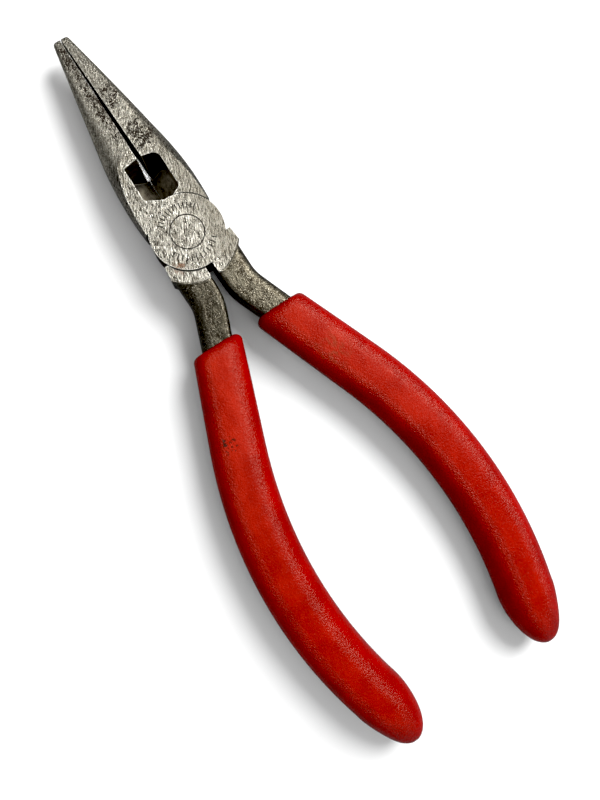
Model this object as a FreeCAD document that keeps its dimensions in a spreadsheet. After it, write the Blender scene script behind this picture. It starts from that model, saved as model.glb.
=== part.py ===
import FreeCAD, Part
import math
import os
import Sketcher

# Needle nose pliers with side cutter: two forged halves crossed at a riveted lap joint,
# each handle dipped in a thick vinyl grip.
#
# Frame: +Y runs from the joint to the jaw tips, +Z is the pivot axis and points out of the
# front face, +X is to the right seen from the front.  The origin is on the pivot axis in the
# plane of the joint's back face.  The tool is closed.
#
# Both halves come from the same forging.  A half is drawn with the lap plane at z = 0, its
# leaf above that plane, its jaw at x < 0 and its handle at x > 0.  The upper half stands as
# drawn and the lower half is turned half a turn about the Y axis.

doc = FreeCAD.newDocument("needle_nose_pliers")
sheet = doc.addObject("Spreadsheet::Sheet", "Sizes")

NEAR = 0.01         # points closer than this count as the same place
UPRIGHT = 0.9       # cosine of the largest lean that still counts as upright

# Arcs of index marks: name, first and last angle in degrees from +X, and number of marks.
MARK_ARCS = (("UpperMarks", 42, 138, 13), ("LowerMarks", 207, 318, 12))

# Sections of a grip's closed end: how far along the end each one stands, from 0 to 1.
CAP_STEPS = (0.43, 0.72, 0.9, 0.985)

SIZES = [
    # joint
    ("joint_thick", 11.0, "thickness over the two ground faces"),
    ("leaf_radius", 9.5, "radius of the round lap leaf"),
    ("leaf_gap", 0.25, "gap between the leaf's rim and the recess round it"),
    ("lap_gap", 0.04, "running gap between the two leaves"),
    ("shoulder_height", 4.5, "distance from the pivot's level to each shoulder"),
    ("shoulder_width", 9.5, "half width of the joint at its shoulders"),
    ("pad_radius", 12.85, "radius of the arc that ends the ground pads"),
    ("pad_width", 9.9, "half width of the joint at the end of the pads"),
    ("slot_half", 1.1, "half width of the slot between the handle roots"),
    ("pad_corner", 1.1, "rounding of the pad's corner at the slot"),
    ("overrun", 0.5, "how far a cutting outline stands clear of the metal it cuts"),
    # rivet
    ("shank_radius", 3.4, "radius of the rivet's shank"),
    ("head_radius", 4.2, "radius of the rivet's flush heads"),
    ("head_depth", 1.3, "depth of the conical heads"),
    ("edge_break", 0.12, "broken edge of the rivet's heads and of their seats"),
    ("rivet_play", 0.05, "running clearance of the rivet in the upper half"),
    # generic index marks round the rivet
    ("mark_width", 0.3, "width of a mark"),
    ("mark_length", 1.4, "length of a mark"),
    ("mark_depth", 0.12, "depth of a mark"),
    ("mark_radius", 6.6, "radius of the middle of the marks"),
    # jaws
    ("jaw_length", 56.9, "pivot to jaw tips"),
    ("tip_width", 2.1, "half width of the nose at the tips"),
    ("side_taper", 0.2, "growth of the half width per mm behind the tips"),
    ("curve_start", 26.0, "where the straight nose side turns into the curved root"),
    ("side_curve", 0.007, "strength of that curve"),
    ("tip_height", 1.5, "half thickness of the nose at the tips"),
    ("top_taper", 0.1235, "growth of the half thickness per mm behind the tips"),
    ("crown_angle", 2.5, "slope of the nose's top across the jaw"),
    ("tip_round", 0.95, "rounding of the nose's outer edges at the tips"),
    ("tip_end_round", 0.8, "rounding round the outer rim of the tip's end face"),
    ("tip_notch", 0.4, "bevel of the tip's inner corner"),
    ("face_break", 0.2, "broken edges of the gripping faces"),
    ("round_growth", 0.0032, "growth of that rounding with the distance squared"),
    ("root_round", 4.3, "largest rounding of the jaw's outer edges"),
    ("jaw_stock", 0.6, "metal left over the jaw's inner face before it is milled"),
    ("tip_gap", 0.08, "half gap between the jaws at the tips"),
    ("gap_taper", 0.0105, "growth of that half gap per mm behind the tips"),
    ("face_start", 26.0, "rear end of the gripping faces"),
    ("throat_half", 0.64, "half gap between the jaws behind the gripping faces"),
    ("throat_end", 24.5, "where that gap starts to close towards the gripping faces"),
    # cutter window
    ("window_half", 4.7, "half width of the cutter window"),
    ("window_front", 21.7, "front edge of the window at the jaws' inner faces"),
    ("window_draft", 3.9, "how far the front wall leans back through the thickness"),
    ("left_rear_start", 1.0, "left half: distance from the middle where the rear wall starts"),
    ("left_rear_rise", 1.9, "left half: how far the rear wall climbs towards the side"),
    ("left_rear_round", 0.7, "left half: rounding of the window's rear corner"),
    ("left_front_fall", 0.9, "left half: how far the front wall falls towards the side"),
    ("left_front_round", 0.6, "left half: rounding of the window's front corner"),
    ("right_rear_start", 2.3, "right half: distance from the middle where the rear wall starts"),
    ("right_rear_rise", 1.1, "right half: how far the rear wall climbs towards the side"),
    ("right_rear_round", 0.9, "right half: rounding of the window's rear corner"),
    ("right_front_fall", 1.1, "right half: how far the front wall falls towards the side"),
    ("right_front_round", 2.0, "right half: rounding of the window's front corner"),
    ("knife_front", 19.2, "front end of the cutting edges, inside the window's front wall"),
    ("knife_rear", 9.85, "rear end of the cutting edges"),
    ("knife_level", 4.9, "level of the cutting edges below the lap plane"),
    ("knife_land", 3.0, "width of the relief behind a cutting edge"),
    ("knife_rise", 4.4, "rise of the knife's bevel to the window's wall"),
    ("knife_gap", 0.04, "half gap between the cutting edges"),
    ("relief_radius", 0.75, "radius of the relief hole at the front of the cutting edges"),
    # teeth
    ("tooth_pitch", 1.1, "spacing of the grip teeth"),
    ("tooth_depth", 0.18, "depth of the grip teeth"),
    ("tooth_share", 0.84, "share of the spacing that a groove takes"),
    ("tooth_start", 28.0, "rear end of the toothed length"),
    ("tooth_count", 24.0, "number of grooves between the teeth"),
    # handles
    ("root_centre", 5.15, "half distance between the handle roots' centre lines"),
    ("neck_top", 9.0, "where the handle's centre line starts, inside its root"),
    ("bend_level", 14.6, "where the neck starts to bend outward"),
    ("bend_radius", 14.0, "radius of the neck's bend"),
    ("splay", 22.0, "angle of the straight neck to the tool's axis"),
    ("straight", 34.7, "length of the straight part of the handle"),
    ("bow_radius", 122.0, "radius of the bowed part of the handle"),
    ("neck_width", 8.5, "width of the neck"),
    ("neck_thick", 10.0, "thickness of the neck"),
    ("neck_inner_round", 1.1, "rounding of the neck's inner edges"),
    ("neck_outer_round", 2.8, "rounding of the neck's outer edges"),
    ("tang_end", 130.5, "pivot to the end of the steel inside the grip"),
    ("tang_width", 7.0, "width of the steel at its end"),
    ("tang_thick", 6.5, "thickness of the steel at its end"),
    ("tang_round", 2.2, "rounding of the steel's edges at its end"),
    # grips
    ("grip_start", 27.0, "pivot to the mouth of the grips"),
    ("grip_bow_end", 125.5, "where the grip's bow runs into its closed end"),
    ("grip_end", 143.2, "pivot to the tip of the grip's closed end"),
    ("end_centre", 22.6, "half distance between the tips of the grips"),
    ("mouth_width", 12.1, "width of the grip's section where its centre line starts"),
    ("mouth_thick", 12.4, "thickness of that section"),
    ("mouth_round", 4.6, "rounding of that section's edges"),
    ("middle_width", 14.4, "width of the grip where its bow starts"),
    ("middle_thick", 12.9, "thickness of the grip where its bow starts"),
    ("middle_round", 5.3, "rounding of the grip's edges where its bow starts"),
    ("end_width", 15.0, "width of the grip near its end"),
    ("end_thick", 13.6, "thickness of the grip near its end"),
    ("end_round", 6.2, "rounding of the grip's edges near its end"),
    ("rim_round", 1.7, "rounding of the grip's rim at the mouth"),
]


def fill_sheet():
    for row, (alias, value, note) in enumerate(SIZES, start=1):
        sheet.set("A%d" % row, note)
        sheet.set("B%d" % row, str(value))
        sheet.setAlias("B%d" % row, alias)
    doc.recompute()


def val(expression):
    return float(sheet.evalExpression(expression))


def origin_plane(body, role):
    for feature in body.Origin.OriginFeatures:
        if feature.Role == role:
            return feature
    raise ValueError(role)


def new_sketch(body, name, role, offset=None, rotation_axis=None, angle=None):
    """Sketch on an origin plane of the body, shifted by three expressions and turned by one."""
    sketch = body.newObject("Sketcher::SketchObject", name)
    sketch.AttachmentSupport = [(origin_plane(body, role), "")]
    sketch.MapMode = "FlatFace"
    if rotation_axis:
        turn = FreeCAD.Rotation(rotation_axis, val(angle))
        sketch.AttachmentOffset = FreeCAD.Placement(FreeCAD.Vector(), turn)
    if offset:
        for axis, expression in zip("xyz", offset):
            if expression:
                sketch.setExpression("AttachmentOffset.Base." + axis, expression)
    return sketch


def bind(sketch, constraint, expression=None):
    """Add a constraint; the expression, if there is one, drives its value."""
    index = sketch.addConstraint(constraint)
    if expression:
        sketch.setExpression("Constraints[%d]" % index, expression)
    return index


def pin(sketch, geometry, end, x_expression, y_expression):
    """Hold one end of a sketch element at a point given by two expressions."""
    for kind, expression in (("DistanceX", x_expression), ("DistanceY", y_expression)):
        value = val(expression)
        bind(sketch, Sketcher.Constraint(kind, -1, 1, geometry, end, value), expression)


def polygon(sketch, corners):
    """Closed outline of straight lines through corners given as pairs of expressions."""
    points = [FreeCAD.Vector(val(x), val(y), 0) for x, y in corners]
    count = len(points)
    for i in range(count):
        sketch.addGeometry(Part.LineSegment(points[i], points[(i + 1) % count]), False)
    for i in range(count):
        sketch.addConstraint(Sketcher.Constraint("Coincident", i, 2, (i + 1) % count, 1))
    for i, (x, y) in enumerate(corners):
        pin(sketch, i, 1, x, y)


def circle(sketch, radius):
    value = val(radius)
    index = sketch.addGeometry(Part.Circle(FreeCAD.Vector(), FreeCAD.Vector(0, 0, 1), value), False)
    sketch.addConstraint(Sketcher.Constraint("Coincident", index, 3, -1, 1))
    bind(sketch, Sketcher.Constraint("Radius", index, value), radius)


def pad(body, name, sketch, length, reversed_side=False, midplane=False):
    feature = body.newObject("PartDesign::Pad", name)
    feature.Profile = sketch
    feature.setExpression("Length", length)
    feature.Reversed = reversed_side
    feature.Midplane = midplane
    sketch.Visibility = False
    return feature


# ---------------------------------------------------------------- the forged halves

def half_width_at(y):
    line = "Sizes.tip_width + (Sizes.jaw_length - %s) * Sizes.side_taper" % y
    bow = "Sizes.side_curve * max(0; Sizes.curve_start - %s)^2" % y
    return "(%s - %s)" % (line, bow)


def half_height_at(y):
    return "(Sizes.tip_height + (Sizes.jaw_length - %s) * Sizes.top_taper)" % y


def edge_round_at(y):
    growth = "Sizes.tip_round + Sizes.round_growth * (Sizes.jaw_length - %s)^2" % y
    return "min(Sizes.root_round; %s)" % growth


def half_gap_at(y):
    return "(Sizes.tip_gap + (Sizes.jaw_length - %s) * Sizes.gap_taper)" % y


def jaw_section(body, name, y):
    """Cross section of the forged jaw: sloped top and bottom, rounded outer edges."""
    sketch = new_sketch(body, name, "XZ_Plane", (None, None, "-(%s)" % y))
    inner = "Sizes.jaw_stock"
    outer = "-" + half_width_at(y)
    height = half_height_at(y)
    rounding = edge_round_at(y)

    slope = math.radians(val("Sizes.crown_angle"))
    r = val(rounding)
    centre_x = val(outer) + r
    fall = math.tan(slope) * (val(inner) - centre_x)
    centre_z = val(height) - fall - r / math.cos(slope)
    touch_x = centre_x - r * math.sin(slope)
    touch_z = centre_z + r * math.cos(slope)
    upper_inner = FreeCAD.Vector(val(inner), val(height), 0)
    lower_inner = FreeCAD.Vector(val(inner), -val(height), 0)
    upper_touch = FreeCAD.Vector(touch_x, touch_z, 0)
    lower_touch = FreeCAD.Vector(touch_x, -touch_z, 0)
    upper_side = FreeCAD.Vector(val(outer), centre_z, 0)
    lower_side = FreeCAD.Vector(val(outer), -centre_z, 0)
    normal = FreeCAD.Vector(0, 0, 1)
    upper_arc = Part.Circle(FreeCAD.Vector(centre_x, centre_z, 0), normal, r)
    lower_arc = Part.Circle(FreeCAD.Vector(centre_x, -centre_z, 0), normal, r)
    quarter = math.pi / 2

    sketch.addGeometry(Part.LineSegment(upper_inner, upper_touch), False)
    sketch.addGeometry(Part.ArcOfCircle(upper_arc, quarter + slope, math.pi), False)
    sketch.addGeometry(Part.LineSegment(upper_side, lower_side), False)
    sketch.addGeometry(Part.ArcOfCircle(lower_arc, math.pi, 3 * quarter - slope), False)
    sketch.addGeometry(Part.LineSegment(lower_touch, lower_inner), False)
    sketch.addGeometry(Part.LineSegment(lower_inner, upper_inner), False)

    joins = [(0, 2, 1, 1), (1, 2, 2, 1), (2, 2, 3, 1), (3, 2, 4, 1)]
    for first, first_end, second, second_end in joins:
        sketch.addConstraint(
            Sketcher.Constraint("Tangent", first, first_end, second, second_end))
    sketch.addConstraint(Sketcher.Constraint("Coincident", 4, 2, 5, 1))
    sketch.addConstraint(Sketcher.Constraint("Coincident", 5, 2, 0, 1))
    sketch.addConstraint(Sketcher.Constraint("Symmetric", 0, 1, 4, 2, -1))
    sketch.addConstraint(Sketcher.Constraint("Symmetric", 2, 1, 2, 2, -1))
    sketch.addConstraint(Sketcher.Constraint("Equal", 1, 3))
    pin(sketch, 0, 1, inner, height)
    bind(sketch, Sketcher.Constraint("DistanceX", -1, 1, 2, 1, val(outer)), outer)
    bind(sketch, Sketcher.Constraint("Radius", 1, r), rounding)
    bind(sketch, Sketcher.Constraint("Angle", 0, math.pi + slope),
         "180 deg + Sizes.crown_angle * 1 deg")
    return sketch


def jaw_loft(body, name, rear, front, steps, ruled):
    """Loft through evenly spaced jaw sections from one level to the other."""
    sections = []
    for step in range(steps + 1):
        y = "(%s + (%s - %s) * %d / %d)" % (rear, front, rear, step, steps)
        sections.append(jaw_section(body, "%sSection%d" % (name, step), y))
    doc.recompute()
    loft = body.newObject("PartDesign::AdditiveLoft", name)
    loft.Profile = sections[0]
    loft.Sections = sections[1:]
    loft.Ruled = ruled
    for sketch in sections:
        sketch.Visibility = False
    doc.recompute()


def jaw(body):
    """Curved jaw root from the joint's shoulder, then the straight tapered nose."""
    jaw_loft(body, "JawRoot", "Sizes.shoulder_height", "Sizes.curve_start", 4, False)
    jaw_loft(body, "Nose", "Sizes.curve_start", "Sizes.jaw_length", 3, True)
    jaw_face(body)
    fillet(body, "TipEndRound", "Sizes.tip_end_round",
           lambda edge: at_level(edge, "Sizes.jaw_length") and not on_inner_face(edge))
    tip_notch(body)
    face_break(body)


def jaw_face(body):
    """Mill the jaw's inner face: it opens slightly from the tip, then steps back at the throat."""
    sketch = new_sketch(body, "InnerFace", "XY_Plane")
    rear = "Sizes.shoulder_height - Sizes.overrun"
    front = "Sizes.jaw_length + Sizes.overrun"
    polygon(sketch, [
        ("-Sizes.throat_half", rear),
        ("-Sizes.throat_half", "Sizes.throat_end"),
        ("-" + half_gap_at("Sizes.face_start"), "Sizes.face_start"),
        ("-" + half_gap_at("(%s)" % front), front),
        ("2 * Sizes.jaw_stock", front),
        ("2 * Sizes.jaw_stock", rear),
    ])
    return pocket(body, "InnerFaceCut", sketch, "2 * Sizes.joint_thick", midplane=True)


def tip_notch(body):
    """Bevel the tip's inner corner, which leaves a small notch between the tips."""
    sketch = new_sketch(body, "NotchOutline", "XY_Plane")
    rear = "Sizes.jaw_length - Sizes.tip_notch"
    front = "Sizes.jaw_length + Sizes.overrun"
    face = "-" + half_gap_at("(%s)" % rear)
    polygon(sketch, [
        (face, rear),
        ("%s - Sizes.tip_notch - Sizes.overrun" % face, front),
        ("Sizes.overrun", front),
        ("Sizes.overrun", rear),
    ])
    return pocket(body, "TipNotch", sketch, "2 * Sizes.joint_thick", midplane=True)


def face_break(body):
    """Break the front and back edges of the gripping face, so that the teeth stop below them."""
    for name, sign in (("Upper", 1), ("Lower", -1)):
        sections = []
        for end, y in (("Rear", "(Sizes.window_front + Sizes.overrun)"),
                       ("Front", "(Sizes.jaw_length + Sizes.overrun)")):
            sketch = new_sketch(body, "%sBreak%s" % (name, end), "XZ_Plane", (None, None, "-" + y))
            face = "-" + half_gap_at(y)
            above = "%d * (%s + Sizes.overrun)" % (sign, half_height_at(y))
            below = "%d * (%s - Sizes.face_break - Sizes.overrun)" % (sign, half_height_at(y))
            polygon(sketch, [
                ("%s - Sizes.face_break - Sizes.overrun" % face, above),
                ("%s + Sizes.overrun" % face, above),
                ("%s + Sizes.overrun" % face, below),
            ])
            sketch.Visibility = False
            sections.append(sketch)
        doc.recompute()
        cut = body.newObject("PartDesign::SubtractiveLoft", name + "Break")
        cut.Profile = sections[0]
        cut.Sections = sections[1:]
        cut.Ruled = True
        doc.recompute()


def leaf(body):
    """Round lap leaf, just clear of the lap plane and flush with the ground face."""
    sketch = new_sketch(body, "LeafOutline", "XY_Plane", (None, None, "Sizes.lap_gap / 2"))
    circle(sketch, "Sizes.leaf_radius")
    return pad(body, "Leaf", sketch, "Sizes.joint_thick / 2 - Sizes.lap_gap / 2")


def handle_root(body):
    """Block that carries the handle, with the shoulder, the pad's arc and the slot side."""
    sketch = new_sketch(body, "RootOutline", "XY_Plane")
    arc_x = "Sizes.pad_width"
    arc_y = "-sqrt(Sizes.pad_radius^2 - Sizes.pad_width^2)"
    slot_y = "-sqrt(Sizes.pad_radius^2 - Sizes.slot_half^2)"
    corners = [
        ("Sizes.slot_half", "-Sizes.shoulder_height"),
        ("Sizes.slot_half", slot_y),
        (arc_x, arc_y),
        ("Sizes.shoulder_width", "-Sizes.shoulder_height"),
    ]
    points = [FreeCAD.Vector(val(x), val(y), 0) for x, y in corners]
    radius = val("Sizes.pad_radius")
    rim = Part.Circle(FreeCAD.Vector(), FreeCAD.Vector(0, 0, 1), radius)
    start = math.atan2(points[1].y, points[1].x)
    stop = math.atan2(points[2].y, points[2].x)
    sketch.addGeometry(Part.LineSegment(points[0], points[1]), False)
    sketch.addGeometry(Part.ArcOfCircle(rim, start, stop), False)
    sketch.addGeometry(Part.LineSegment(points[2], points[3]), False)
    sketch.addGeometry(Part.LineSegment(points[3], points[0]), False)
    for first, second in ((0, 1), (1, 2), (2, 3), (3, 0)):
        sketch.addConstraint(Sketcher.Constraint("Coincident", first, 2, second, 1))
    sketch.addConstraint(Sketcher.Constraint("Coincident", 1, 3, -1, 1))
    bind(sketch, Sketcher.Constraint("Radius", 1, radius), "Sizes.pad_radius")
    pin(sketch, 0, 1, *corners[0])
    pin(sketch, 3, 1, *corners[3])
    sketch.addConstraint(Sketcher.Constraint("Vertical", 0))
    bind(sketch, Sketcher.Constraint("DistanceX", -1, 1, 2, 1, val(arc_x)), arc_x)
    return pad(body, "HandleRoot", sketch, "Sizes.joint_thick", midplane=True)


def handle_spine(body, name, end_level):
    """Centre line of the handle: neck, bend, straight and bow, down to the given level."""
    sketch = new_sketch(body, name, "XY_Plane")
    splay = math.radians(val("Sizes.splay"))
    bend = val("Sizes.bend_radius")
    bow = val("Sizes.bow_radius")
    normal = FreeCAD.Vector(0, 0, 1)
    start = FreeCAD.Vector(val("Sizes.root_centre"), -val("Sizes.neck_top"), 0)
    bend_start = FreeCAD.Vector(start.x, -val("Sizes.bend_level"), 0)
    bend_centre = bend_start + FreeCAD.Vector(bend, 0, 0)
    inward = FreeCAD.Vector(-math.cos(splay), -math.sin(splay), 0)
    forward = FreeCAD.Vector(math.sin(splay), -math.cos(splay), 0)
    bend_end = bend_centre + inward * bend
    bow_start = bend_end + forward * val("Sizes.straight")
    bow_centre = bow_start + inward * bow
    bow_turn = math.asin((-val(end_level) - bow_centre.y) / bow)

    sketch.addGeometry(Part.LineSegment(start, bend_start), False)
    bend_circle = Part.Circle(bend_centre, normal, bend)
    sketch.addGeometry(Part.ArcOfCircle(bend_circle, math.pi, math.pi + splay), False)
    sketch.addGeometry(Part.LineSegment(bend_end, bow_start), False)
    bow_circle = Part.Circle(bow_centre, normal, bow)
    sketch.addGeometry(Part.ArcOfCircle(bow_circle, bow_turn, splay), False)

    sketch.addConstraint(Sketcher.Constraint("Tangent", 0, 2, 1, 1))
    sketch.addConstraint(Sketcher.Constraint("Tangent", 1, 2, 2, 1))
    sketch.addConstraint(Sketcher.Constraint("Tangent", 2, 2, 3, 2))
    sketch.addConstraint(Sketcher.Constraint("Vertical", 0))
    pin(sketch, 0, 1, "Sizes.root_centre", "-Sizes.neck_top")
    level = "-Sizes.bend_level"
    bind(sketch, Sketcher.Constraint("DistanceY", -1, 1, 0, 2, val(level)), level)
    bind(sketch, Sketcher.Constraint("Radius", 1, bend), "Sizes.bend_radius")
    bind(sketch, Sketcher.Constraint("Angle", 2, splay - math.pi / 2),
         "Sizes.splay * 1 deg - 90 deg")
    bind(sketch, Sketcher.Constraint("Distance", 2, val("Sizes.straight")), "Sizes.straight")
    bind(sketch, Sketcher.Constraint("Radius", 3, bow), "Sizes.bow_radius")
    level = "-(%s)" % end_level
    bind(sketch, Sketcher.Constraint("DistanceY", -1, 1, 3, 1, val(level)), level)
    return sketch


def rounded_block(sketch, width, thick, inner_round, outer_round):
    """Rectangle centred on the sketch's origin, rounded separately at its inner and outer side."""
    x = val(width) / 2
    y = val(thick) / 2
    normal = FreeCAD.Vector(0, 0, 1)
    quarter = math.pi / 2
    outer = val(outer_round)
    inner = val(inner_round)
    corners = [(x, y, outer), (-x, y, inner), (-x, -y, inner), (x, -y, outer)]
    arcs = []
    for turn, (corner_x, corner_y, r) in enumerate(corners):
        centre = FreeCAD.Vector(corner_x - math.copysign(r, corner_x),
                                corner_y - math.copysign(r, corner_y), 0)
        arcs.append((Part.Circle(centre, normal, r), turn * quarter, (turn + 1) * quarter))
    for number, (rim, start, stop) in enumerate(arcs):
        following, next_start, _ = arcs[(number + 1) % 4]
        sketch.addGeometry(Part.ArcOfCircle(rim, start, stop), False)
        sketch.addGeometry(Part.LineSegment(rim.value(stop), following.value(next_start)), False)
    for i in range(8):
        sketch.addConstraint(Sketcher.Constraint("Tangent", i, 2, (i + 1) % 8, 1))
    for line, direction in ((1, "Horizontal"), (3, "Vertical"), (5, "Horizontal"), (7, "Vertical")):
        sketch.addConstraint(Sketcher.Constraint(direction, line))
    sketch.addConstraint(Sketcher.Constraint("Equal", 0, 6))
    sketch.addConstraint(Sketcher.Constraint("Equal", 2, 4))
    bind(sketch, Sketcher.Constraint("Radius", 0, outer), outer_round)
    bind(sketch, Sketcher.Constraint("Radius", 2, inner), inner_round)
    for line, kind, value, expression in ((1, "DistanceY", y, thick), (5, "DistanceY", -y, thick),
                                          (3, "DistanceX", -x, width), (7, "DistanceX", x, width)):
        sign = "-" if value < 0 else ""
        bind(sketch, Sketcher.Constraint(kind, -1, 1, line, 1, value),
             "%s%s / 2" % (sign, expression))


def section_at_spine_start(body, name, x, level):
    return new_sketch(body, name, "XZ_Plane", (x, None, level))


def section_on_bow(body, name, spine, place):
    """Sketch square to the spine's bow: place is 1 where the bow starts and 0 at its end."""
    sketch = body.newObject("Sketcher::SketchObject", name)
    sketch.AttachmentSupport = [(spine, "Edge4")]
    sketch.MapMode = "FrenetNB"
    sketch.MapPathParameter = place
    return sketch


def pipe(body, kind, name, spine, sections):
    feature = body.newObject(kind, name)
    feature.Profile = sections[0]
    feature.Spine = (spine, ["Edge1", "Edge2", "Edge3", "Edge4"])
    feature.Mode = "Standard"
    feature.Transformation = "Multisection"
    feature.Sections = sections[1:]
    for sketch in [spine] + sections:
        sketch.Visibility = False
    return feature


def handle_steel(body, kind):
    """Neck and tang in one sweep; also used to cut the same shape out of a grip."""
    spine = handle_spine(body, "HandleSpine", "Sizes.tang_end")
    neck = section_at_spine_start(body, "NeckSection", "Sizes.root_centre", "Sizes.neck_top")
    rounded_block(neck, "Sizes.neck_width", "Sizes.neck_thick",
                  "Sizes.neck_inner_round", "Sizes.neck_outer_round")
    doc.recompute()
    tang = section_on_bow(body, "TangSection", spine, 0)
    rounded_block(tang, "Sizes.tang_width", "Sizes.tang_thick",
                  "Sizes.tang_round", "Sizes.tang_round")
    doc.recompute()
    return pipe(body, kind, "Handle", spine, [neck, tang])


def pocket(body, name, sketch, length, reversed_side=False, midplane=False):
    feature = body.newObject("PartDesign::Pocket", name)
    feature.Profile = sketch
    feature.setExpression("Length", length)
    feature.Reversed = reversed_side
    feature.Midplane = midplane
    sketch.Visibility = False
    return feature


def ground_faces(body):
    """Grind both broad faces flat and parallel, to the thickness of the joint."""
    for name, sign in (("Front", ""), ("Back", "-")):
        level = sign + "Sizes.joint_thick / 2"
        sketch = new_sketch(body, name + "Ground", "XY_Plane", (None, None, level))
        polygon(sketch, [
            ("-2 * Sizes.leaf_radius", "-2 * Sizes.leaf_radius"),
            ("2 * Sizes.leaf_radius", "-2 * Sizes.leaf_radius"),
            ("2 * Sizes.leaf_radius", "Sizes.jaw_length"),
            ("-2 * Sizes.leaf_radius", "Sizes.jaw_length"),
        ])
        pocket(body, name + "Grind", sketch, "Sizes.joint_thick", reversed_side=(sign == ""))
        doc.recompute()


def lap_recess(body):
    """Round recess below the lap plane, where the other half's leaf turns."""
    sketch = new_sketch(body, "RecessOutline", "XY_Plane", (None, None, "Sizes.lap_gap / 2"))
    circle(sketch, "Sizes.leaf_radius + Sizes.leaf_gap")
    return pocket(body, "LapRecess", sketch, "Sizes.joint_thick")


def rivet_profile(sketch, play, lip):
    """Half outline of the shank and its two conical heads, grown by the play.

    lip is +1 to widen the outline at both faces (a hole's broken edge) and -1 to narrow it.
    """
    top = "Sizes.joint_thick / 2"
    shank = "Sizes.shank_radius + %s" % play
    head = "Sizes.head_radius + %s" % play
    face = "%s + %d * Sizes.edge_break" % (head, lip)
    polygon(sketch, [
        ("0", "-" + top),
        (face, "-" + top),
        (head, "Sizes.edge_break - " + top),
        (shank, "Sizes.head_depth - " + top),
        (shank, top + " - Sizes.head_depth"),
        (head, top + " - Sizes.edge_break"),
        (face, top),
        ("0", top),
    ])


def rivet_hole(body, play):
    sketch = new_sketch(body, "RivetHoleProfile", "XZ_Plane")
    rivet_profile(sketch, play, 1)
    groove = body.newObject("PartDesign::Groove", "RivetHole")
    groove.Profile = sketch
    groove.ReferenceAxis = (sketch, ["V_Axis"])
    groove.Angle = 360
    sketch.Visibility = False
    return groove


def cutter_window(body, front, side):
    """Half of the cutter window: open to the inner face, its front wall leaning back.

    front is +1 where the tool's front face is at z > 0 in this half's frame and -1 where it
    is at z < 0.  side picks the sizes of the left or the right half of the window.
    """
    recess = "(Sizes.leaf_radius + Sizes.leaf_gap)"
    start = "Sizes.%s_rear_start" % side
    rear = "sqrt(%s^2 - %s^2)" % (recess, start)
    rear_corner = "%s + Sizes.%s_rear_rise" % (rear, side)
    front_corner = "Sizes.window_front - Sizes.%s_front_fall" % side
    outlines = []
    for name, face in (("WindowTop", front), ("WindowFloor", -front)):
        level = "%d * (Sizes.joint_thick / 2 + Sizes.overrun)" % face
        sketch = new_sketch(body, name, "XY_Plane", (None, None, level))
        lean = "0" if face == front else "Sizes.window_draft"
        polygon(sketch, [
            ("Sizes.overrun", recess),
            ("-" + start, rear),
            ("-Sizes.window_half", rear_corner),
            ("-Sizes.window_half", "%s - %s" % (front_corner, lean)),
            ("Sizes.overrun", "Sizes.window_front - %s" % lean),
        ])
        sketch.Visibility = False
        outlines.append(sketch)
    doc.recompute()
    cut = body.newObject("PartDesign::SubtractiveLoft", "Window")
    cut.Profile = outlines[0]
    cut.Sections = outlines[1:]
    cut.Ruled = True
    for end, level in (("rear", rear_corner),
                       ("front", front_corner + " - Sizes.window_draft / 2")):
        fillet(body, "Window%sRound" % end.capitalize(), "Sizes.%s_%s_round" % (side, end),
               lambda edge: is_upright(edge) and close_to(
                   edge, -val("Sizes.window_half"), val(level)))
    return cut


def knife(body, front):
    """Cutting edge at the bottom of the window, ground from the front side only."""
    sketch = new_sketch(body, "KnifeProfile", "XZ_Plane", (None, None, "-Sizes.knife_rear"))
    back = "-%d * Sizes.joint_thick / 2" % front
    edge = "-%d * Sizes.knife_level" % front
    polygon(sketch, [
        ("-Sizes.knife_gap", edge),
        ("-Sizes.window_half - Sizes.overrun", "%s + %d * Sizes.knife_rise" % (edge, front)),
        ("-Sizes.window_half - Sizes.overrun", back),
        ("-Sizes.knife_land", back),
    ])
    return pad(body, "Knife", sketch, "Sizes.knife_front - Sizes.knife_rear",
               reversed_side=True)


def relief_hole(body):
    """Hole between the jaws that ends the cutting edges at the front."""
    sketch = new_sketch(body, "ReliefOutline", "XY_Plane", (None, "Sizes.knife_front", None))
    circle(sketch, "Sizes.relief_radius")
    return pocket(body, "ReliefHole", sketch, "2 * Sizes.joint_thick", midplane=True)


def teeth(body, shift):
    """Row of V grooves straight across the gripping face, moved forward by a share of a pitch."""
    sketch = new_sketch(body, "ToothProfile", "XY_Plane")
    first = "(Sizes.tooth_start + %s * Sizes.tooth_pitch)" % shift
    face = "-" + half_gap_at(first)
    half = "Sizes.tooth_pitch * Sizes.tooth_share / 2"
    polygon(sketch, [
        ("Sizes.overrun", "%s - %s" % (first, half)),
        (face, "%s - %s" % (first, half)),
        ("%s - Sizes.tooth_depth" % face, first),
        (face, "%s + %s" % (first, half)),
        ("Sizes.overrun", "%s + %s" % (first, half)),
    ])
    groove = pocket(body, "Tooth", sketch, "2 * Sizes.joint_thick", midplane=True)
    doc.recompute()
    row = body.newObject("PartDesign::LinearPattern", "Teeth")
    row.Originals = [groove]
    row.Direction = (next(f for f in body.Group if f.Name.startswith("InnerFace")), ["Edge3"])
    row.setExpression("Length", "Sizes.tooth_pitch * (Sizes.tooth_count - 1)")
    row.setExpression("Occurrences", "Sizes.tooth_count")
    body.Tip = row
    doc.recompute()
    return row


def at_level(edge, level):
    """True when the whole edge lies in the plane y = level."""
    return all(abs(v.Point.y - val(level)) < NEAR for v in edge.Vertexes)


def on_inner_face(edge):
    """True when both ends of the edge lie in the jaw's milled inner face."""
    return all(abs(v.Point.x + val(half_gap_at("%.6f" % v.Point.y))) < NEAR
               for v in edge.Vertexes)


def edges_where(shape, test):
    names = []
    for number, edge in enumerate(shape.Edges, start=1):
        if test(edge):
            names.append("Edge%d" % number)
    return names


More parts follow.
